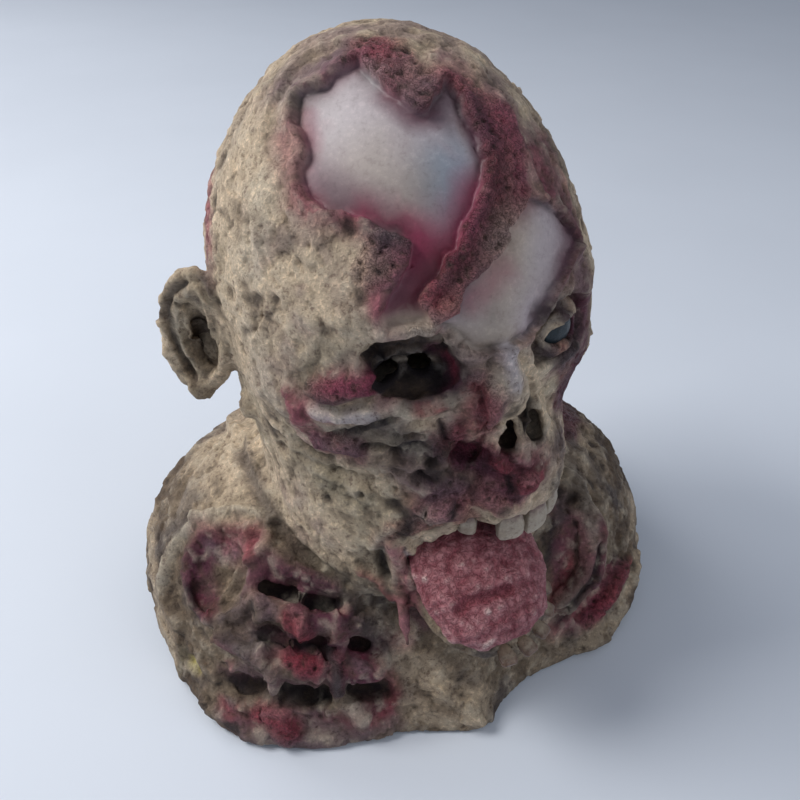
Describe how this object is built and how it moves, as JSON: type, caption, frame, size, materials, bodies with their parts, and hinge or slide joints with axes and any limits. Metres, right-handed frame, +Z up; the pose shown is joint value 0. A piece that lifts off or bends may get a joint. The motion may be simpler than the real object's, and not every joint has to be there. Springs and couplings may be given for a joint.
{
  "type": "zombie mask",
  "caption": "Full-head zombie mask with torn scalp over bare skull, an empty eye socket, a hanging jaw and tongue, and a shoulder bib with bared ribs; hollow and open below.",
  "frame": {"origin": "on the surface that the hem stands on, under the middle of the bounding box", "axes": "+Z up through the crown, the face looks along -Y, +X to the wearer's left"},
  "size_m": [0.3786, 0.3222, 0.4],
  "materials": {
    "latex_skin": "matte, airbrushed",
    "eye": "gloss",
    "tongue_flesh": "satin",
    "upper_teeth": "satin",
    "lower_teeth": "satin"
  },
  "bodies": {
    "root": {"mask_skin": "latex_skin", "left_eye": "eye", "tongue": "tongue_flesh", "upper_canine_right": "upper_teeth", "upper_incisor_right": "upper_teeth", "upper_incisor_left": "upper_teeth", "upper_side_incisor_left": "upper_teeth", "upper_canine_left": "upper_teeth", "lower_tooth_1": "lower_teeth", "lower_tooth_2": "lower_teeth", "lower_tooth_3": "lower_teeth", "lower_tooth_4": "lower_teeth", "lower_tooth_5": "lower_teeth"}
  },
  "joints": []
}
